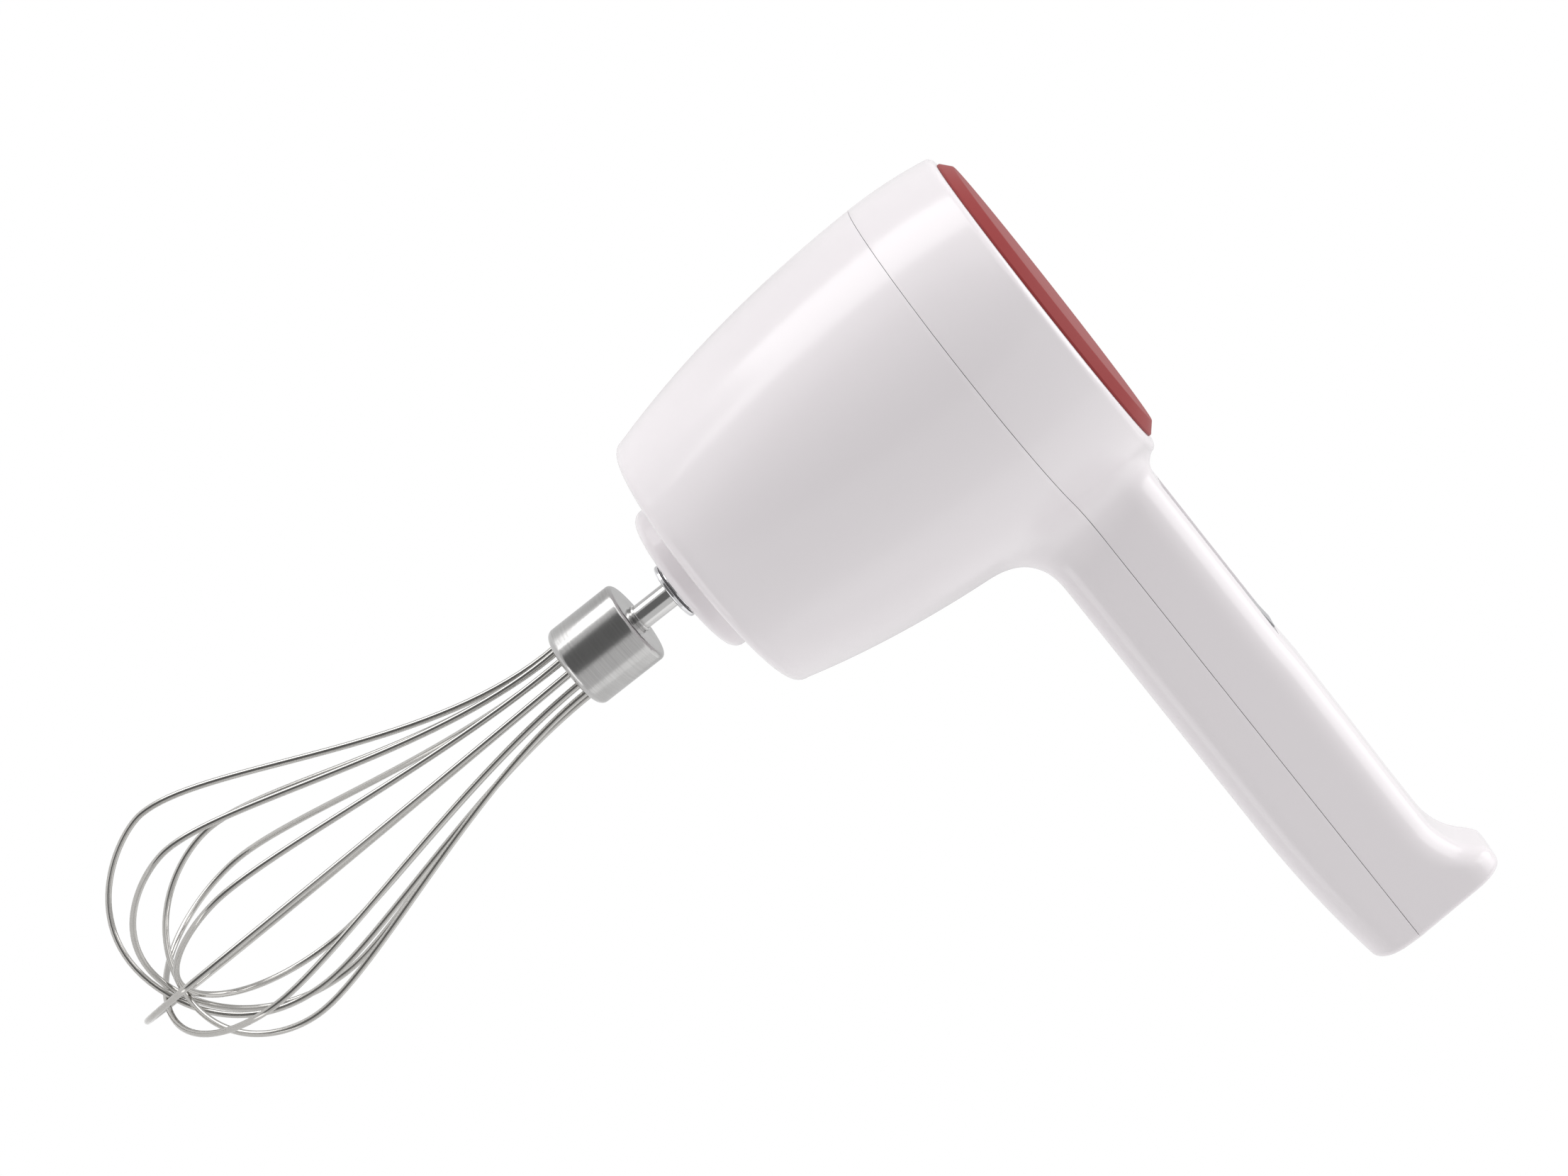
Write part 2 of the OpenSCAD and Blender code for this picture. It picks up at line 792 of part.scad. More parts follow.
// Whole loop, from the - side's end to the + side's end, turned to its azimuth and leaning with
// the basket towards +X
function loop_path(l) =
  let (
    tip_z = lowest_crossing + l[7],
    plus = loop_side(l[1], -l[3], tip_z, l[5]),
    minus = loop_side(l[2], -l[4], tip_z, -l[5]),
    flat = concat(
      [for (p = minus) [-p[0], p[1]]],
      [for (i = [len(plus) - 2 : -1 : 0]) plus[i]]
    ),
    c = cos(l[0] + basket_turn),
    s = sin(l[0] + basket_turn)
  )
  [for (p = flat) let (
    drop = max(0, ferrule_foot - p[1]),
    aside = -l[6] * pow(drop / (ferrule_foot - tip_z), 2)
  ) [p[0] * c - aside * s + basket_lean * drop, p[0] * s + aside * c, p[1]]];

// Tube of eight sides along a path that lies close to an upright plane with that normal
module wire(path, r, normal) {
  sides = 8;
  last = len(path) - 1;
  rings = [for (i = [0 : last]) let (
    d = path[min(i + 1, last)] - path[max(i - 1, 0)],
    t = d / norm(d),
    b = normal - (normal * t) * t,
    across = b / norm(b),
    up = cross(t, across)
  ) each [for (k = [0 : sides - 1])
    let (turn = 360 * k / sides) path[i] + r * (cos(turn) * across + sin(turn) * up)]];
  polyhedron(
    points = rings,
    faces = concat(
      [[for (k = [0 : sides - 1]) k]],
      [for (i = [0 : last - 1]) for (k = [0 : sides - 1])
        let (a = i * sides + k, b = i * sides + (k + 1) % sides) [a, a + sides, b + sides, b]],
      [[for (k = [sides - 1 : -1 : 0]) last * sides + k]]
    )
  );
}

// Loop number i, counted from the lowest
module whisk_loop(i) {
  azimuth = LOOPS[i][0] + basket_turn;
  color([0.78, 0.78, 0.79]) wire(loop_path(LOOPS[i]), wire_d / 2, [-sin(azimuth), cos(azimuth), 0]);
}

module whisk_loop_1() {
  whisk_loop(0);
}

module whisk_loop_2() {
  whisk_loop(1);
}

module whisk_loop_3() {
  whisk_loop(2);
}

module whisk_loop_4() {
  whisk_loop(3);
}

module whisk_loop_5() {
  whisk_loop(4);
}

module whisk_loop_6() {
  whisk_loop(5);
}

// ---------- the assembly ----------

upper_shell();
lower_shell();
top_panel();
control_bezel();
switch_board();
tact_switches();
power_button();
speed_button();
battery_cell_1();
battery_cell_2();
battery_cradle();
battery_tabs();
charge_board();
usb_socket();
control_board();
shell_screws();
motor_can();
motor_end_cap();
motor_magnets();
motor_brushes();
motor_bushes();
motor_screws();
motor_damper();
motor_plate();
motor_shaft();
armature_core();
armature_windings();
commutator();
sun_pinion();
gearbox_housing();
gearbox_screws();
planet_gear_1();
planet_gear_2();
planet_gear_3();
planet_carrier();
planet_pins();
output_spindle();
output_bearing();
spindle_seal();
grip_ring();
drive_collar();
whisk_shaft();
shaft_clip();
whisk_ferrule();
whisk_core();
whisk_loop_1();
whisk_loop_2();
whisk_loop_3();
whisk_loop_4();
whisk_loop_5();
whisk_loop_6();
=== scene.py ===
"""Cordless hand mixer with a balloon whisk: the visible surfaces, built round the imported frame.

The mixer stands in the frame with its spindle on Z: red panel at z = 0, handle along +X, whisk
pointing down. All sizes below are in millimetres and become metres when a mesh is made.
"""

import math

import bpy
import numpy as np
from mathutils import Matrix, Vector


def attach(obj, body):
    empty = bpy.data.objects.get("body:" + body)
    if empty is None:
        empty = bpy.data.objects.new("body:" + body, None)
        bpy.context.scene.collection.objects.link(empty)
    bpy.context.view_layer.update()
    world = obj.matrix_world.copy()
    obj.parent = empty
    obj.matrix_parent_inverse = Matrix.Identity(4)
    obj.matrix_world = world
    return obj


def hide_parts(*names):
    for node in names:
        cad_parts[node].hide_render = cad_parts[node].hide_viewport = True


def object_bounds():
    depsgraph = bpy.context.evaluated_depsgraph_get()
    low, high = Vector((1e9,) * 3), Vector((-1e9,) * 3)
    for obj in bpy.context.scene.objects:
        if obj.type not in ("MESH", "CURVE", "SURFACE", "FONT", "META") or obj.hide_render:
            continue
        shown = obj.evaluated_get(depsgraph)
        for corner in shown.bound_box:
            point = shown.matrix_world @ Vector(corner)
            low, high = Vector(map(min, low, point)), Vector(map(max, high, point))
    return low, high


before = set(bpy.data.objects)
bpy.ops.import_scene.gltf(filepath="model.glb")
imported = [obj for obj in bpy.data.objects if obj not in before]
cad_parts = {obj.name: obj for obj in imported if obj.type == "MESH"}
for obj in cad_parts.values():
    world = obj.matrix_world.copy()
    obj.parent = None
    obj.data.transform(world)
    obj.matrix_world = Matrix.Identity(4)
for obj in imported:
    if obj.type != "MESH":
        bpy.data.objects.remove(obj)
cad_low, cad_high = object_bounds()
scene = bpy.context.scene

# ---------------------------------------------------------------------------------------------
# Camera. It looks across the handle from a little above, with the spindle slanted in the frame,
# so the whisk points to the lower left and the handle to the lower right.
aim = Vector((0.0156, 0.0, -0.0926))
camera_distance = 0.8898
camera_azimuth = math.radians(-7.9)
camera_elevation = math.radians(7.4)
spindle_slant = math.radians(38.07)
side = Vector((math.cos(camera_azimuth), math.sin(camera_azimuth), 0))
back = Vector((math.sin(camera_azimuth) * math.cos(camera_elevation),
               -math.cos(camera_azimuth) * math.cos(camera_elevation), math.sin(camera_elevation)))
rise = back.cross(side)
right = side * math.sin(spindle_slant) + rise * math.cos(spindle_slant)
up = rise * math.sin(spindle_slant) - side * math.cos(spindle_slant)
camera = bpy.data.objects.new("camera", bpy.data.cameras.new("camera"))
camera.data.lens = 86.37
camera.data.sensor_width = 36
camera.matrix_world = Matrix.Translation(aim + back * camera_distance) @ Matrix((
    (right.x, up.x, back.x, 0), (right.y, up.y, back.y, 0), (right.z, up.z, back.z, 0), (0, 0, 0, 1)))
scene.collection.objects.link(camera)
scene.camera = camera

# ---------------------------------------------------------------------------------------------
# Finish of the housing: glossy white moulded plastic with a faint orange-peel ripple and tiny
# changes of gloss where it has been handled.


class Value:
    """A number on its way through a material: + - * on it add Math nodes."""

    def __init__(self, finish, socket):
        self.finish = finish
        self.socket = socket

    def _math(self, operation, *values):
        return self.finish.add("ShaderNodeMath", {"operation": operation}, dict(enumerate(values)))

    def __add__(self, other):
        return self._math("ADD", self, other)

    def __radd__(self, other):
        return self._math("ADD", other, self)

    def __sub__(self, other):
        return self._math("SUBTRACT", self, other)

    def __rsub__(self, other):
        return self._math("SUBTRACT", other, self)

    def __mul__(self, other):
        return self._math("MULTIPLY", self, other)

    def __rmul__(self, other):
        return self._math("MULTIPLY", other, self)


class Nodes:
    """A node tree that grows by one call."""

    def __init__(self, tree):
        self.nodes = tree.nodes
        self.links = tree.links

    def add(self, kind, settings, inputs, output=0):
        """Adds a node: its settings first, then its sockets' values or links; returns one output."""
        node = self.nodes.new(kind)
        for key, setting in settings.items():
            setattr(node, key, setting)
        for key, given in inputs.items():
            if isinstance(given, Value):
                self.links.new(given.socket, node.inputs[key])
            else:
                node.inputs[key].default_value = given
        return Value(self, node.outputs[output])


class Finish(Nodes):
    """One material: a Principled shader with plain numbers on its sockets, and what varies over it."""

    def __init__(self, name, color, roughness, **numbers):
        self.material = bpy.data.materials.new(name)
        self.material.use_nodes = True
        super().__init__(self.material.node_tree)
        self.shader = self.nodes["Principled BSDF"]
        self.shader.inputs["Base Color"].default_value = (*color, 1)
        self.shader.inputs["Roughness"].default_value = roughness
        for socket, number in numbers.items():
            self.shader.inputs[socket.replace("_", " ")].default_value = number
        self.place = self.add("ShaderNodeTexCoord", {}, {}, "Object")
        self.color = color

    def feed(self, socket, given):
        """Links something that varies into one of the shader's sockets."""
        self.links.new(given.socket, self.shader.inputs[socket])

    def noise(self, scale, stretch=(1, 1, 1), detail=3.0):
        """Noise from 0 to 1 on Object coordinates, scale in cells per metre, stretched by axis."""
        vector = self.add("ShaderNodeMapping", {}, {"Vector": self.place, "Scale": stretch})
        return self.add("ShaderNodeTexNoise", {}, {
            "Vector": vector, "Scale": scale, "Detail": detail, "Distortion": 0.0}, "Fac")

    def tint(self, factor, other):
        """Mixes the base colour towards another colour by a factor."""
        mixed = self.add("ShaderNodeMix", {"data_type": "RGBA"},
                         {0: factor, 6: (*self.color, 1), 7: (*other, 1)}, 2)
        self.feed("Base Color", mixed)

    def bump(self, height, depth, strength=1.0):
        """Turns a height from 0 to 1 into bumps depth millimetres deep."""
        self.feed("Normal", self.add("ShaderNodeBump", {}, {
            "Height": height, "Distance": depth * 0.001, "Strength": strength}))


white = Finish("white_gloss_plastic", (0.80, 0.762, 0.782), 0.22, Coat_Weight=0.2, Coat_Roughness=0.1)
handled = white.noise(28, detail=4)
white.feed("Roughness", 0.17 + 0.09 * handled)
white.tint(0.35 * white.noise(9, detail=2), (0.775, 0.735, 0.757))
white.bump(white.noise(900, detail=1), 0.004, 0.6)

# ---------------------------------------------------------------------------------------------
# Housing: two shells of 2.2 mm moulded plastic that part in one plane through head and handle.
# The head is a turned barrel, the handle a rounded bar, and one soft fillet blends them.
seam_z = -25.4
head_r = 44.7
swell_up = 72.0
swell_down = 124.0
shell_top = -2.8
panel_seat_r = 38.6
shoulder_round = 1.9
head_floor = -103.6
foot_round = 3.0
boss_floor = -110.5
boss_r = 19.8
boss_round = 2.5
boss_root = 0.8
boss_bore_r = 9.6
wall = 2.2
seam_gap = 0.06
rim_bevel = 0.22
handle_half_w = 15.0
handle_bottom = -40.2
handle_round = 7.5
heel_start_x = 130
heel_rise = 2.9
flare_start_x = 152
flare_r = 17.7
flare_centre_z = 10.1
flare_run = 17
tip_soft = 2.6
handle_tip_x = 172.35
end_round = 1.7
end_bulge = 0.6
end_start_x = 158
end_lean = 0.052
heel_lean = 0.65
fillet_low_z = -42
fillet_top_z = -10
fillet_low = 12.5
fillet_top = 6.0


def barrel_radius(z):
    """Radius of the head at height z: half ellipses, one up and one down, that meet at the seam."""
    swell = np.where(z > seam_z, swell_up, swell_down)
    return head_r * np.sqrt(1 - ((z - seam_z) / swell) ** 2)


def soft_min(a, b, k):
    """The smaller of a and b, rounded off where they are within k: min - (k - |a - b|)^2 / 4k."""
    return np.minimum(a, b) - np.maximum(k - np.abs(a - b), 0) ** 2 / (4 * k)


def handle_top(x):
    """Height of the handle's top: level, a little fuller in mid grip, a hollow arc up to the tip."""
    grip = np.interp(x, [92, 104, 125, 140], [-7.8, -7.25, -7.4, -7.6])
    arc = flare_centre_z - np.sqrt(flare_r ** 2 - np.clip(x - flare_start_x, 0, flare_run) ** 2)
    return soft_min(np.maximum(grip, arc), 0.0 * x, tip_soft)


def handle_floor(x):
    """Height of the handle's underside: level, then a slow rise to the end."""
    return handle_bottom + heel_rise * (np.maximum(x - heel_start_x, 0) / 40) ** 2


def housing_gap(p):
    """Signed distance to the housing's skin near the handle's root: barrel and bar, softly joined."""
    barrel = np.hypot(p[:, 0], p[:, 1]) - barrel_radius(p[:, 2])
    top, low = handle_top(p[:, 0]), handle_floor(p[:, 0])
    over = np.stack([np.abs(p[:, 1]) - handle_half_w, np.abs(p[:, 2] - (top + low) / 2) - (top - low) / 2], 1)
    over += handle_round
    bar = np.linalg.norm(np.maximum(over, 0), axis=1) + np.minimum(over.max(1), 0) - handle_round
    reach = np.interp(p[:, 2], [fillet_low_z, fillet_top_z], [fillet_low, fillet_top])
    return np.where(p[:, 0] > 0, soft_min(barrel, bar, reach), barrel)


def onto_skin(p, level):
    """Moves points along the gap's slope until it is zero; points marked level keep their height."""
    p = p.copy()
    for _ in range(14):
        gap = housing_gap(p)
        slope = np.stack([housing_gap(p + step) - gap for step in np.eye(3) * 0.01], 1) / 0.01
        slope[level, 2] = 0
        p -= (gap / np.maximum((slope ** 2).sum(1), 0.05))[:, None] * slope
    return p


def along(points, count):
    """Points at equal steps along a polyline: count steps, count + 1 points."""
    points = np.asarray(points, float)
    run = np.concatenate([[0], np.cumsum(np.linalg.norm(np.diff(points, axis=0), axis=1))])
    at = np.linspace(0, run[-1], count + 1)
    return np.stack([np.interp(at, run, points[:, k]) for k in range(points.shape[1])], 1)


across = 36
rows_up = 16
rows_down = 20
turns = 192
ring_size = 2 * (across + rows_up + rows_down)


def bar_section(x, shrink=0.0):
    """One ring of the handle at x in (y, z): rounded bar, cut at its corners' middles and the seam."""
    w = handle_half_w - shrink
    top = float(handle_top(np.array(x))) - shrink
    low = float(handle_floor(np.array(x))) + shrink
    r = handle_round - shrink
    turn = np.radians(np.linspace(0, 90, 13))[:, None]
    top_arc = np.hstack([w - r + r * np.sin(turn), top - r + r * np.cos(turn)])
    low_arc = np.hstack([w - r + r * np.sin(turn), low + r - r * np.cos(turn)])
    middle = 6
    flip = np.array([-1, 1])
    top_side = along(np.vstack([top_arc[middle::-1] * flip, top_arc[:middle + 1]]), across)
    down_top = along(np.vstack([top_arc[middle:], [[w, seam_z]]]), rows_up)
    down_low = along(np.vstack([[[w, seam_z]], low_arc[:middle - 1:-1]]), rows_down)
    low_side = along(np.vstack([low_arc[middle::-1], low_arc[:middle + 1] * flip]), across)
    down = np.vstack([down_top, down_low[1:]])
    return np.vstack([top_side[:-1], down[:-1], low_side[:-1], (down * flip)[:0:-1]])


# Turned outline of the head, from the rim under the panel to the hole in the boss
corner_top = np.radians(np.linspace(90, 0, 7))
corner_low = np.radians(np.linspace(0, -90, 8))
shoulder_z = shell_top - shoulder_round
foot_z = head_floor + foot_round
r_shoulder = float(barrel_radius(shoulder_z))
r_foot = float(barrel_radius(foot_z))
hole_foot = -52.0
side_up = np.linspace(shoulder_z, seam_z, rows_up + 1)
side_mid = np.linspace(seam_z, hole_foot, rows_down + 1)
side_low = np.linspace(hole_foot, foot_z, 34)
root_turn = np.radians(np.linspace(90, 180, 5))
outline = np.vstack([
    np.stack([np.linspace(panel_seat_r, r_shoulder - shoulder_round, 4)[:-1], np.full(3, shell_top)], 1),
    np.stack([r_shoulder - shoulder_round + shoulder_round * np.cos(corner_top),
              shoulder_z + shoulder_round * np.sin(corner_top)], 1),
    np.stack([barrel_radius(side_up), side_up], 1)[1:],
    np.stack([barrel_radius(side_mid), side_mid], 1)[1:],
    np.stack([barrel_radius(side_low), side_low], 1)[1:-1],
    np.stack([r_foot - foot_round + foot_round * np.cos(corner_low),
              foot_z + foot_round * np.sin(corner_low)], 1),
    np.stack([np.linspace(r_foot - foot_round, boss_r + boss_root, 10)[1:], np.full(9, head_floor)], 1),
    np.stack([boss_r + boss_root + boss_root * np.cos(root_turn),
              head_floor - boss_root + boss_root * np.sin(root_turn)], 1)[1:],
    np.stack([boss_r - boss_round + boss_round * np.cos(corner_low),
              boss_floor + boss_round + boss_round * np.sin(corner_low)], 1),
    np.array([[14.0, boss_floor], [boss_bore_r, boss_floor]]),
])
hole_row = 3 + len(corner_top) - 1
seam_row = hole_row + rows_up
foot_row = seam_row + rows_down
azimuth = 2 * math.pi * np.arange(turns) / turns
barrel = np.stack([outline[:, :1] * np.cos(azimuth), outline[:, :1] * np.sin(azimuth),
                   np.repeat(outline[:, 1:], turns, 1)], 2)

# Blend the barrel's side towards the handle, and let the shoulder above it follow
blended = barrel[hole_row:foot_row + 12].reshape(-1, 3)
on_seam = np.abs(blended[:, 2] - seam_z) < 1e-9
barrel[hole_row:foot_row + 12] = onto_skin(blended, on_seam).reshape(-1, turns, 3)
lift = barrel[hole_row] - np.stack([outline[hole_row, 0] * np.cos(azimuth),
                                    outline[hole_row, 0] * np.sin(azimuth),
                                    np.full(turns, outline[hole_row, 1])], 1)
for step in range(3, hole_row):
    share = math.sin((step - 3) / (hole_row - 3) * math.pi / 2)
    barrel[step] += lift * share * np.array([1, 1, 0.5])

# Ring of the barrel's own vertices round the handle's root, then rings out along the handle
half = across // 2
spread = np.arange(-half, half + 1) % turns
rows = np.arange(hole_row, foot_row + 1)
grid_index = np.arange(barrel.shape[0] * turns).reshape(barrel.shape[0], turns)
root_ring = np.concatenate([
    grid_index[hole_row, spread][:-1], grid_index[rows, half][:-1],
    grid_index[foot_row, spread[::-1]][:-1], grid_index[rows[::-1], spread[0]][:-1]])
seam_spots = np.array([across + rows_up, 2 * across + rows_up + 2 * rows_down])
level = np.zeros(ring_size, bool)
level[seam_spots] = True
bar_start = 50.3
blend_end_x = 66
fine_start_x = 150
root_points = barrel.reshape(-1, 3)[root_ring]
first_section = np.hstack([np.full((ring_size, 1), bar_start), bar_section(bar_start)])
rings = []
for share in np.linspace(0, 1, 17)[1:-1]:
    rings.append(onto_skin(root_points * (1 - share) + first_section * share, level))
straight = np.concatenate([np.arange(bar_start, fine_start_x, 1.5),
                           np.arange(fine_start_x, handle_tip_x - end_round, 0.7)])
for x in straight:
    ring = np.hstack([np.full((ring_size, 1), x), bar_section(x)])
    rings.append(onto_skin(ring, level) if x < blend_end_x else ring)
for turn in np.radians(np.linspace(0, 90, 8)):
    x = handle_tip_x - end_round + end_round * math.sin(turn)
    section = bar_section(x, end_round * (1 - math.cos(turn)))
    rings.append(np.hstack([np.full((ring_size, 1), x), section]))
rings = np.array(rings)


# End of the handle: its last ring filled in with two patches that meet on the seam
last = rings[-1]
corner_a, corner_b = 0, across
corner_c = across + rows_up + rows_down
corner_d = corner_c + across
top_line = last[corner_a:corner_b + 1]
right_line = last[corner_b:corner_c + 1]
low_line = last[corner_c:corner_d + 1][::-1]
left_line = np.vstack([last[corner_d:], last[:1]])[::-1]


def coons(top, low, left, right):
    """Patch inside four border lines: mixes top with low and left with right, less the corners' mix."""
    v = np.linspace(0, 1, len(left))[:, None, None]
    u = np.linspace(0, 1, len(top))[None, :, None]
    mixed = (1 - v) * top[None] + v * low[None] + (1 - u) * left[:, None] + u * right[:, None]
    corners = (1 - u) * (1 - v) * top[0] + u * (1 - v) * top[-1] + (1 - u) * v * low[0] + u * v * low[-1]
    return mixed - corners


seam_line = along(np.array([left_line[rows_up], right_line[rows_up]]), across)
cap_up = coons(top_line, seam_line, left_line[:rows_up + 1], right_line[:rows_up + 1])
cap_low = coons(seam_line, low_line, left_line[rows_up:], right_line[rows_up:])
cap = np.vstack([cap_up, cap_low[1:]])

# Number every vertex once: barrel, rings, then the inside of the cap
barrel_count = barrel.shape[0] * turns
ring_index = barrel_count + np.arange(rings.shape[0] * ring_size).reshape(-1, ring_size)
cap_index = np.full(cap.shape[:2], -1)
cap_index[1:-1, 1:-1] = barrel_count + rings.shape[0] * ring_size + np.arange(
    (cap.shape[0] - 2) * (cap.shape[1] - 2)).reshape(cap.shape[0] - 2, -1)
tip = ring_index[-1]
cap_index[0] = tip[corner_a:corner_b + 1]
cap_index[:, -1] = tip[corner_b:corner_c + 1]
cap_index[-1] = tip[corner_c:corner_d + 1][::-1]
cap_index[:, 0] = np.concatenate([tip[corner_d:], tip[:1]])[::-1]
skin = np.vstack([barrel.reshape(-1, 3), rings.reshape(-1, 3), cap[1:-1, 1:-1].reshape(-1, 3)])

# The end leans back above the seam and curves back below it
near_end = np.clip((skin[:, 0] - end_start_x) / (handle_tip_x - end_start_x), 0, 1) ** 2
end_rise = skin[:, 2] - seam_z
leaning = np.where(end_rise > 0, end_lean * end_rise, heel_lean * (end_rise / 12) ** 2)
skin[:, 0] += near_end * (end_bulge - leaning)


def quads(index, closed):
    """Quads of a grid of vertex numbers, row by row; closed joins the last column to the first."""
    if closed:
        index = np.hstack([index, index[:, :1]])
    return np.stack([index[:-1, :-1], index[1:, :-1], index[1:, 1:], index[:-1, 1:]], 2)


def piece(name, points, faces, body, finish, replaced):
    """Makes a smooth object of quads from points in millimetres, riding a body in place of CAD nodes."""
    faces = np.asarray(faces)
    used = np.unique(faces)
    renumber = np.zeros(len(points), int)
    renumber[used] = np.arange(len(used))
    mesh = bpy.data.meshes.new(name)
    mesh.from_pydata((np.asarray(points)[used] * 0.001).tolist(), [], renumber[faces].tolist())
    mesh.update()
    mesh.shade_smooth()
    made = bpy.data.objects.new(name, mesh)
    scene.collection.objects.link(made)
    mesh.materials.append(finish.material)
    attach(made, body)
    if replaced:
        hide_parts(*replaced)
    return made


barrel_quads = quads(grid_index, True)
in_hole = np.zeros(barrel_quads.shape[:2], bool)
in_hole[np.ix_(np.arange(hole_row, foot_row), np.arange(-half, half) % turns)] = True
root_and_rings = np.vstack([root_ring[None], ring_index])
handle_quads = quads(root_and_rings, True)
cap_quads = quads(cap_index, False)
above = np.zeros(ring_size, bool)
above[:across + rows_up] = True
above[2 * across + rows_up + 2 * rows_down:] = True

# Opening in the handle's top for the control strip
strip_start_x = 50.2
strip_end_x = 95.7
strip_edge = 7
strip_columns = np.arange(strip_edge, across - strip_edge)
ring_x = rings[:, half, 0]
strip_rings = np.nonzero((ring_x > strip_start_x) & (ring_x < strip_end_x))[0]
strip_open = np.zeros(handle_quads.shape[:2], bool)
strip_open[np.ix_(strip_rings[:-1] + 1, strip_columns)] = True

# Opening in the end for the charging socket
socket_z = -28.75
socket_half_w = 4.6
socket_half_h = 1.9
cap_middle = skin[cap_quads].mean(2)
socket_open = ((np.abs(cap_middle[:, :, 1]) < socket_half_w)
               & (np.abs(cap_middle[:, :, 2] - socket_z) < socket_half_h))

upper_faces = np.vstack([
    barrel_quads[:seam_row][~in_hole[:seam_row]],
    handle_quads[above[None, :] & ~strip_open],
    cap_quads[:rows_up].reshape(-1, 4)])
lower_faces = np.vstack([
    barrel_quads[seam_row:][~in_hole[seam_row:]],
    handle_quads[:, ~above].reshape(-1, 4),
    cap_quads[rows_up:][~socket_open[rows_up:]]])


def shell(name, faces, gap):
    """Gives one half of the skin its wall, a parting gap at the seam and softened rims."""
    points = skin.copy()
    points[np.abs(points[:, 2] - seam_z) < 1e-6, 2] += gap
    made = piece(name + "_skin", points, faces, "housing", white, [name])
    thick = made.modifiers.new("wall", "SOLIDIFY")
    thick.thickness = wall * 0.001
    thick.offset = -1
    rim = made.modifiers.new("rims", "BEVEL")
    rim.width = rim_bevel * 0.001
    rim.segments = 2
    rim.limit_method = "ANGLE"
    rim.angle_limit = math.radians(55)


shell("upper_shell", upper_faces, seam_gap)
shell("lower_shell", lower_faces, -seam_gap)

# ---------------------------------------------------------------------------------------------
# Red panel: a thick gloss cap with a sloping edge, stuck in the head's top. The mixer rests on it.


def rounded(corners, steps=6):
    """Closed outline through corners (r, z, radius): each corner gives way to an arc of its radius."""
    corners = np.asarray(corners, float)
    path = []
    for before, here, after in zip(np.roll(corners, 1, 0), corners, np.roll(corners, -1, 0)):
        a, b = before[:2] - here[:2], after[:2] - here[:2]
        a, b = a / np.linalg.norm(a), b / np.linalg.norm(b)
        if here[2] < 1e-6:
            path.append(here[:2])
            continue
        opening = math.acos(np.clip(a @ b, -1, 1))
        centre = here[:2] + (a + b) / np.linalg.norm(a + b) * here[2] / math.sin(opening / 2)
        start = here[:2] + a * here[2] / math.tan(opening / 2) - centre
        end = here[:2] + b * here[2] / math.tan(opening / 2) - centre
        sweep = math.pi - opening
        for t in np.linspace(0, 1, steps + 1):
            turned_by = math.sin((1 - t) * sweep) * start + math.sin(t * sweep) * end
            path.append(centre + turned_by / math.sin(sweep))
    return np.array(path)


def turned(name, corners, body, finish, replaced, count=128, steps=6):
    """Spins a closed outline of rounded corners about Z; corners run so that faces point outwards."""
    path = rounded(corners, steps)
    angle = 2 * math.pi * np.arange(count) / count
    points = np.stack([path[:, :1] * np.cos(angle), path[:, :1] * np.sin(angle),
                       np.repeat(path[:, 1:], count, 1)], 2).reshape(-1, 3)
    index = np.arange(len(points)).reshape(len(path), count)
    faces = quads(np.vstack([index, index[:1]]), True).reshape(-1, 4)
    made = piece(name, points, faces, body, finish, replaced)
    made.data.set_sharp_from_angle(angle=math.radians(40))
    return made


red = Finish("red_satin_panel", (0.27, 0.045, 0.045), 0.45, Specular_IOR_Level=0.1)
red.feed("Roughness", 0.4 + 0.12 * red.noise(30, stretch=(0.15, 4, 1), detail=4))
red.tint(0.5 * red.noise(14, stretch=(0.2, 3, 1)), (0.31, 0.055, 0.055))
red.bump(red.noise(500, detail=1), 0.003, 0.5)
turned("top_panel_cap", [(0.01, 0, 0), (0.01, -2.75, 0), (40, -2.75, 0.05), (40, -2.2, 0.25), (37.5, 0, 0.7)],
       "housing", red, ["top_panel"], count=192)

# ---------------------------------------------------------------------------------------------
# Drive: chrome collar on the spindle's mouth, and the rubber lip seal round its neck.
chrome = Finish("polished_chrome", (0.72, 0.72, 0.735), 0.09, Metallic=1.0)
chrome.feed("Roughness", 0.06 + 0.1 * chrome.noise(120, detail=4))
chrome.bump(chrome.noise(2600, stretch=(0.05, 0.05, 1), detail=2), 0.003, 0.5)
rubber = Finish("black_rubber", (0.02, 0.02, 0.021), 0.62)
rubber.tint(rubber.noise(300, detail=4), (0.035, 0.035, 0.036))
rubber.bump(rubber.noise(1500), 0.02, 0.5)
turned("drive_collar_turned",
       [(3.2, -113.9, 0.25), (7.3, -113.9, 0.45), (7.3, -112.7, 0.35), (6, -112.7, 0.2), (6, -109.2, 0.1),
        (4.95, -109.2, 0), (4.95, -113.4, 0), (3.2, -113.4, 0)],
       "spindle", chrome, ["drive_collar"])
turned("spindle_seal_lip",
       [(6.12, -110.25, 0.25), (9.5, -110.25, 0.3), (9.5, -108.4, 0.1), (6.5, -108.4, 0.1)],
       "housing", rubber, ["spindle_seal"])

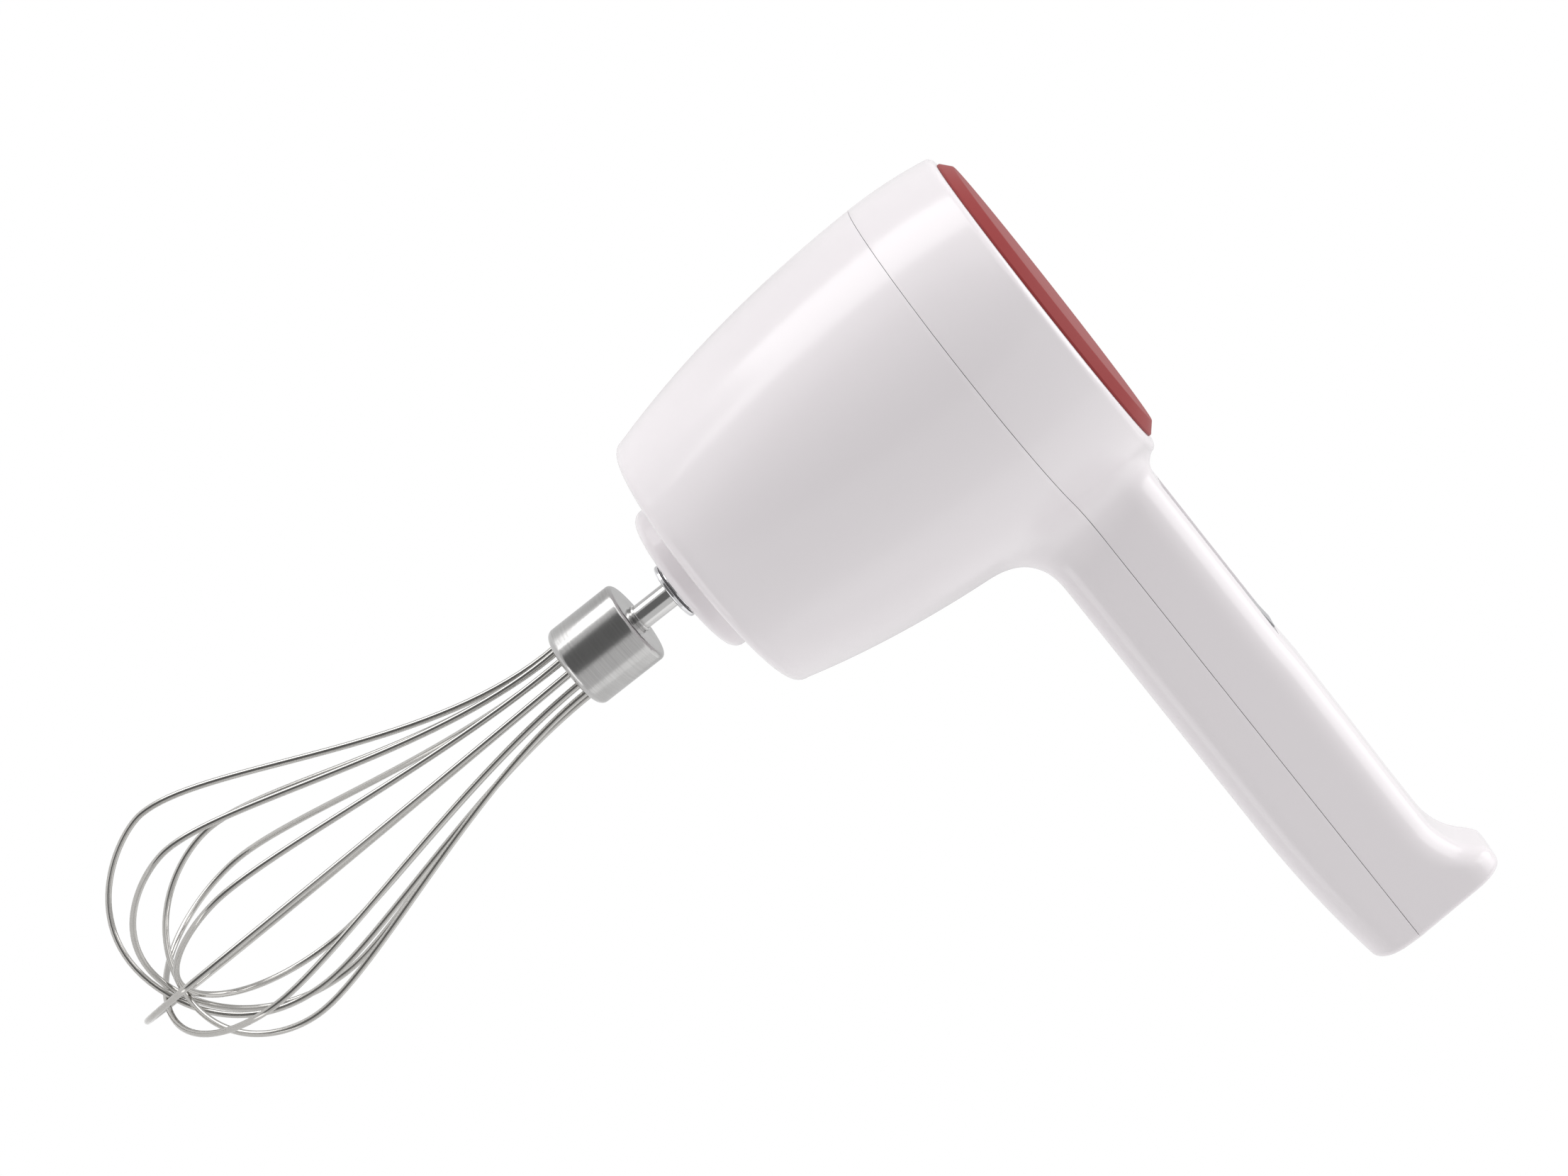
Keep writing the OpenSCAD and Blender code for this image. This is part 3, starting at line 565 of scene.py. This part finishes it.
# ---------------------------------------------------------------------------------------------
# Whisk shaft and clip: a polished 6.3 mm steel pin with a snap groove and a narrower round end,
# and a thin retaining ring where it enters the ferrule.
steel_pin = Finish("polished_steel", (0.62, 0.615, 0.61), 0.12, Metallic=1.0)
steel_pin.feed("Roughness", 0.09 + 0.12 * steel_pin.noise(200, detail=4))
steel_pin.bump(steel_pin.noise(4000, stretch=(0.04, 0.04, 1), detail=2), 0.004, 0.6)
turned("whisk_pin",
       [(0.01, -141, 0), (3.15, -141, 0.1), (3.15, -106.6, 0.05), (2.9, -106.4, 0), (2.9, -105.6, 0),
        (3.15, -105.4, 0.05), (3.15, -103.4, 0.3), (2.75, -103.3, 0), (2.75, -98, 0.3), (0.01, -98, 0)],
       "whisk", steel_pin, ["whisk_shaft"], count=96)
turned("shaft_clip_ring",
       [(3.17, -124.35, 0.05), (3.55, -124.35, 0.15), (3.55, -123.65, 0.15), (3.17, -123.65, 0.05)],
       "whisk", steel_pin, ["shaft_clip"], count=96)

# ---------------------------------------------------------------------------------------------
# Ferrule: a drawn steel cup, finely brushed round its side, with rounded edges and a matte top.
ferrule_r = 10.8
ferrule_top = -124.6
ferrule_foot = -144.1
brushed = Finish("brushed_steel", (0.56, 0.555, 0.55), 0.3, Metallic=1.0)
lines = brushed.noise(3200, stretch=(0.02, 0.02, 1), detail=4)
blotch = brushed.noise(160, detail=4)
brushed.feed("Roughness", 0.14 + 0.08 * lines + 0.05 * blotch)
brushed.tint(0.9 * lines + 0.3 * blotch - 0.2, (0.38, 0.375, 0.37))
brushed.bump(lines + 1.2 * brushed.noise(1700, detail=2), 0.008, 0.8)
turned("whisk_ferrule_cup",
       [(3.2, ferrule_top, 0.15), (3.2, ferrule_top - 2, 0), (8.4, ferrule_top - 2, 0.5),
        (8.4, ferrule_foot, 0.2), (ferrule_r, ferrule_foot, 1.9), (ferrule_r, ferrule_top, 1.25)],
       "whisk", brushed, ["whisk_ferrule"], count=160, steps=9)

# ---------------------------------------------------------------------------------------------
# Whisk loops: six hoops of 1.6 mm spring wire, nested so that each tip clears the next by a wire.
# Both legs of a hoop go up into the ferrule on one circle and are crimped round the core.
wire_d = 1.6
wire_circle_r = 6.95
wire_top = -133.1
lowest_crossing = -275.0
basket_turn = -7.6
basket_lean = 0.03
# Azimuth, reach of each leg, depth of each leg's widest point, slope where the hoop crosses the
# axis, how far it is bent sideways, and height of its tip over the lowest one
loops = [
    [90, 25.1, 35.7, 240.8, 254.3, 0.17, -0.7, 0.0], [-60, 33.4, 34.7, 241.8, 245.7, 0.04, 1.7, 1.85],
    [0, 19.5, 40.4, 238.1, 249.4, 0.48, 0.5, 4.35], [30, 23.9, 33.5, 235.6, 244.7, 0.29, 0.1, 6.15],
    [-30, 29.1, 30.7, 239.3, 241.4, 0.03, 4.1, 7.95], [60, 22.6, 27.2, 233.1, 239.4, 0.24, 3.0, 10.45]]


def curve(ends, count):
    """Bezier curve of four control points: their weights are the terms of (1 - t + t) cubed."""
    t = np.linspace(0, 1, count + 1)[:, None]
    a, b, c, d = np.asarray(ends, float)
    return (1 - t) ** 3 * a + 3 * (1 - t) ** 2 * t * b + 3 * (1 - t) * t ** 2 * c + t ** 3 * d


def leg(reach, wide_z, tip_z, slope):
    """One leg of a hoop in (reach, z): straight out of the ferrule, out to its reach, in to its tip."""
    drop, bowl = ferrule_foot - wide_z, wide_z - tip_z
    upper = curve([[wire_circle_r, ferrule_foot], [wire_circle_r - 0.85, ferrule_foot - 0.375 * drop],
                   [reach, wide_z + 0.19 * drop], [reach, wide_z]], 34)
    lower = curve([[reach, wide_z], [reach, wide_z - 0.415 * bowl],
                   [0.68 * reach, tip_z + 0.68 * reach * slope], [0, tip_z]], 30)
    return np.vstack([[[wire_circle_r, wire_top - 0.5], [wire_circle_r, ferrule_foot + 2]], upper, lower[1:]])


def tube(path, across_path, radius, sides=12):
    """Round wire along a path: rings of points in the plane of across_path and the path's own normal."""
    ahead = np.gradient(path, axis=0)
    ahead /= np.linalg.norm(ahead, axis=1, keepdims=True)
    out = np.cross(ahead, across_path)
    out /= np.linalg.norm(out, axis=1, keepdims=True)
    width = np.cross(out, ahead)
    turn = 2 * math.pi * np.arange(sides) / sides
    rings = (path[:, None] + radius * (np.cos(turn)[None, :, None] * out[:, None]
                                       + np.sin(turn)[None, :, None] * width[:, None]))
    points = np.vstack([rings.reshape(-1, 3), path[:1], path[-1:]])
    index = np.arange(len(path) * sides).reshape(len(path), sides)
    start = np.full((1, sides), len(points) - 2)
    end = np.full((1, sides), len(points) - 1)
    return points, quads(np.vstack([start, index, end]), True).reshape(-1, 4)


wire = Finish("bright_wire", (0.52, 0.51, 0.49), 0.1, Metallic=1.0)
drawn = wire.noise(500, detail=5)
wire.feed("Roughness", 0.07 + 0.08 * drawn)
wire.tint(0.5 * drawn, (0.42, 0.41, 0.39))
wire.bump(wire.noise(1500, detail=1), 0.0015, 0.3)
for number, (azimuth_deg, reach_a, reach_b, wide_a, wide_b, slope, bend, rise) in enumerate(loops):
    tip_z = lowest_crossing + rise
    leg_a = leg(reach_a, -wide_a, tip_z, slope)
    leg_b = leg(reach_b, -wide_b, tip_z, -slope) * [-1, 1]
    flat = np.vstack([leg_a, leg_b[-2::-1]])
    drop = np.maximum(0, ferrule_foot - flat[:, 1])
    aside = -bend * (drop / (ferrule_foot - tip_z)) ** 2
    turn = math.radians(azimuth_deg + basket_turn)
    path = np.stack([flat[:, 0] * math.cos(turn) - aside * math.sin(turn) + basket_lean * drop,
                     flat[:, 0] * math.sin(turn) + aside * math.cos(turn), flat[:, 1]], 1)
    points, faces = tube(path, np.array([-math.sin(turn), math.cos(turn), 0]), wire_d / 2)
    piece(f"whisk_wire_{number + 1}", points, faces, "whisk", wire,
          [f"whisk_loop_{number + 1}"])

# ---------------------------------------------------------------------------------------------
# Control strip: a satin grey bezel let into the handle's top, with two long buttons in it. Their
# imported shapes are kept, so only the finish of the moulded plastic is made here.
grey = Finish("button_grey_plastic", (0.36, 0.36, 0.37), 0.45)
grey.feed("Roughness", 0.38 + 0.14 * grey.noise(300, detail=3))
grey.tint(grey.noise(60), (0.4, 0.4, 0.41))
grey.bump(grey.noise(1800, detail=2), 0.015, 0.6)

# ---------------------------------------------------------------------------------------------
# Inside: motor, gears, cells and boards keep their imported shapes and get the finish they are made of.
plain_steel = Finish("zinc_plated_steel", (0.5, 0.5, 0.49), 0.34, Metallic=1.0)
plain_steel.feed("Roughness", 0.26 + 0.22 * plain_steel.noise(250, detail=4))
plain_steel.tint(0.6 * plain_steel.noise(90), (0.42, 0.42, 0.4))
black = Finish("black_moulded_plastic", (0.025, 0.025, 0.027), 0.45)
black.feed("Roughness", 0.38 + 0.16 * black.noise(200, detail=3))
black.bump(black.noise(1500), 0.015, 0.5)
acetal = Finish("natural_acetal", (0.72, 0.7, 0.64), 0.38)
acetal.feed("Roughness", 0.32 + 0.14 * acetal.noise(200))
acetal.tint(0.4 * acetal.noise(80), (0.64, 0.61, 0.54))
board = Finish("green_circuit_board", (0.012, 0.12, 0.05), 0.32)
board.tint(board.noise(900, detail=1), (0.01, 0.07, 0.03))
sleeve = Finish("cell_sleeve", (0.03, 0.12, 0.3), 0.3)
sleeve.feed("Roughness", 0.24 + 0.16 * sleeve.noise(120))
copper = Finish("enamelled_copper", (0.55, 0.2, 0.08), 0.3, Metallic=1.0)
copper.tint(copper.noise(700, stretch=(1, 1, 0.2)), (0.4, 0.13, 0.05))
bronze = Finish("sintered_bronze", (0.45, 0.28, 0.12), 0.42, Metallic=1.0)
bronze.tint(bronze.noise(900), (0.33, 0.2, 0.09))
finishes = {
    "shell_white": white, "panel_red": red, "button_grey": grey, "polished_steel": chrome,
    "satin_steel": brushed, "plain_steel": plain_steel, "black_plastic": black, "gear_plastic": acetal,
    "board_green": board, "cell_wrap": sleeve, "copper": copper, "bronze": bronze, "black_rubber": rubber}
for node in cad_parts.values():
    for place in node.material_slots:
        place.material = finishes[place.material.name].material

# ---------------------------------------------------------------------------------------------
# Studio: white floor and surround, a tall soft box at the head's far side and weaker ones round it.
# The floor lies low enough for the whisk to be pulled out above it.
pull_room = 0.042
stage_z = float(cad_low[2]) - pull_room
floor_mesh = bpy.data.meshes.new("floor")
floor_corners = [(-3, -0.1), (3, -0.1), (3, 3), (-3, 3)]
floor_mesh.from_pydata([(x, y, stage_z) for x, y in floor_corners], [], [(0, 1, 2, 3)])
floor = bpy.data.objects.new("floor", floor_mesh)
scene.collection.objects.link(floor)
floor_paint = Finish("white_floor", (0.85, 0.85, 0.85), 0.8)
glow = floor_paint.add("ShaderNodeEmission", {}, {"Color": (1, 1, 1, 1), "Strength": 1.0})
seen = floor_paint.add("ShaderNodeLightPath", {}, {})
floor_mix = floor_paint.add("ShaderNodeMixShader", {}, {
    0: seen, 1: Value(floor_paint, floor_paint.shader.outputs[0]), 2: glow})
floor_paint.links.new(floor_mix.socket, floor_paint.nodes["Material Output"].inputs["Surface"])
floor_mesh.materials.append(floor_paint.material)

world = bpy.data.worlds.new("studio")
world.use_nodes = True
scene.world = world
sky = Nodes(world.node_tree)
background = sky.nodes["Background"]
toward = sky.add("ShaderNodeTexCoord", {}, {}, "Generated")
dark_direction = (-0.4, -0.912, -0.09)
facing = sky.add("ShaderNodeVectorMath", {"operation": "DOT_PRODUCT"}, {0: toward, 1: dark_direction}, 1)
dark_front = sky.add("ShaderNodeMapRange", {"interpolation_type": "SMOOTHSTEP"}, {
    "Value": facing, "From Min": 0.79, "From Max": 0.89, "To Min": 0.0, "To Max": 1.0})
seen_sky = sky.add("ShaderNodeLightPath", {}, {}, "Is Camera Ray")
lit = 0.75 - 0.58 * dark_front
sky.links.new((lit * (1 - seen_sky) + seen_sky).socket, background.inputs["Strength"])
background.inputs["Color"].default_value = (1, 1, 1, 1)


def soft_box(name, place, target, width, height, power):
    """A rectangular soft box at a place in metres, facing a target."""
    light = bpy.data.lights.new(name, "AREA")
    light.shape = "RECTANGLE"
    light.size, light.size_y = width, height
    light.energy = power
    box = bpy.data.objects.new(name, light)
    box.location = place
    box.visible_camera = False
    box.rotation_euler = (Vector(target) - Vector(place)).to_track_quat("-Z", "Y").to_euler()
    scene.collection.objects.link(box)


soft_box("tall_box_left", (-0.95, 0.0, -0.08), (0, 0, -0.1), 0.5, 1.2, 5.5)
soft_box("box_left_front", (-0.7, -0.5, 0.55), (0, 0, -0.1), 0.6, 0.6, 1.0)
soft_box("box_over_handle", (0.12, 0.0, 0.75), (0.08, 0, -0.05), 0.9, 0.6, 3.4)
soft_box("box_right", (1.2, 0.1, 0.0), (0, 0, -0.1), 1.7, 1.7, 3.9)
soft_box("box_low_front", (0.1, -0.45, -0.85), (0.05, 0, -0.1), 0.8, 0.5, 1.6)

scene.view_settings.view_transform = "Standard"
